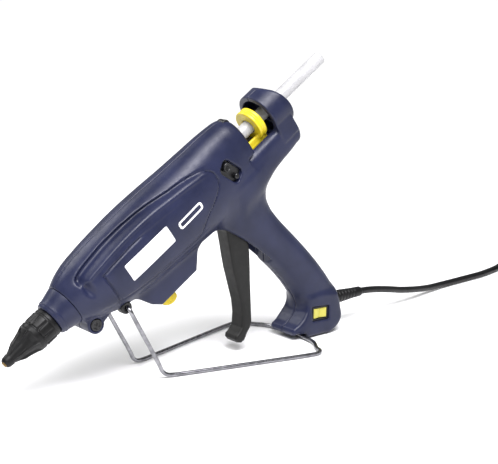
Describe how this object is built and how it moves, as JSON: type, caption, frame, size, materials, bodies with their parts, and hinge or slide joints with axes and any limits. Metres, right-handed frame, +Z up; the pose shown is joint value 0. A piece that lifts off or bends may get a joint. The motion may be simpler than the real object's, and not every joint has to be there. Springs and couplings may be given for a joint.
{
  "type": "glue gun",
  "caption": "Hot-melt glue gun resting nose-down on its wire stand, with a feed trigger, a glue stick in its feed window, a rocker switch and a mains cord.",
  "frame": {"origin": "under the middle of the gun and its stand, on the surface they stand on; the cord is left out of the middle", "axes": "+Z up, -X towards the nozzle, +X towards the cord, -Y the gun's left side"},
  "size_m": [0.7118, 0.149, 0.2558],
  "materials": {
    "body_plastic": "moulded, fine grain, satin",
    "black_plastic": "moulded, satin",
    "black_rubber": "matt",
    "yellow_plastic": "moulded, satin gloss",
    "switch_yellow": "translucent-looking, gloss",
    "stand_steel": "bright nickel",
    "steel": "plain, machined",
    "brass": "machined",
    "aluminium": "cast",
    "silicone": "matt",
    "ceramic": "matt",
    "glue": "waxy, translucent",
    "label": "printed plate"
  },
  "bodies": {
    "root": {"housing_left": "body_plastic", "housing_right": "body_plastic", "nose_collar": "body_plastic", "nozzle_cap": "black_rubber", "front_cross_tube": "black_rubber", "cord": "black_rubber", "cord_coil": "black_rubber", "cord_tail": "black_rubber", "strain_relief": "black_rubber", "plug_body": "black_rubber", "nozzle": "brass", "melt_chamber": "aluminium", "heater_left": "ceramic", "heater_right": "ceramic", "thermal_fuse": "ceramic", "cord_clamp": "ceramic", "terminal_block": "ceramic", "thermostat": "black_plastic", "stand_lug_left": "black_plastic", "stand_lug_right": "black_plastic", "cover_pin": "black_plastic", "latch_button_left": "black_plastic", "latch_button_right": "black_plastic", "latch_pin_left": "black_plastic", "latch_pin_right": "black_plastic", "switch_body": "black_plastic", "inlet_sleeve": "silicone", "sleeve_clamp": "steel", "return_spring": "steel", "trigger_pin": "steel", "plug_pin_1": "steel", "plug_pin_2": "steel", "housing_screw_1": "steel", "housing_screw_2": "steel", "housing_screw_3": "steel", "housing_screw_4": "steel", "housing_screw_5": "steel", "label_plate_left": "label", "label_plate_right": "label"},
    "trigger": {"trigger": "black_plastic"},
    "carriage": {"feed_carriage": "yellow_plastic", "drive_pin": "steel", "grip_jaw": "black_plastic"},
    "stick": {"glue_stick": "glue"},
    "adjuster": {"stroke_adjuster": "yellow_plastic", "adjuster_screw": "steel"},
    "stand": {"stand_wire": "stand_steel"},
    "rocker": {"rocker_switch": "switch_yellow"}
  },
  "joints": [
    {"name": "trigger_pull", "type": "hinge", "parent": "root", "child": "trigger", "pos_m": [0.02297, 0, 0.12368], "axis": [0, -1, 0], "range_deg": [0, 22], "stiffness_Nm_per_rad": 0.6, "springref_deg": -20.05},
    {"name": "carriage_feed", "type": "slide", "parent": "root", "child": "carriage", "axis": [-0.8281, 0, -0.5606], "range_m": [0, 0.0098]},
    {"name": "stick_slide", "type": "slide", "parent": "carriage", "child": "stick", "axis": [0.8281, 0, 0.5606], "range_m": [-0.038, 0.12]},
    {"name": "adjuster_turn", "type": "hinge", "parent": "root", "child": "adjuster", "pos_m": [-0.03511, 0, 0.06141], "axis": [-0.5606, 0, 0.8281], "range_deg": [0, 300]},
    {"name": "stand_swing", "type": "hinge", "parent": "root", "child": "stand", "pos_m": [-0.08628, 0, 0.06473], "axis": [0, 1, 0], "range_deg": [0, 100]},
    {"name": "rocker_tip", "type": "hinge", "parent": "root", "child": "rocker", "pos_m": [0.12203, -0.0153, 0.02107], "axis": [0.0332, 0, 0.9995], "range_deg": [-6, 6]}
  ],
  "couplings": [
    {"joint": "carriage_feed", "follows": "trigger_pull", "m_per_rad": 0.02508}
  ]
}
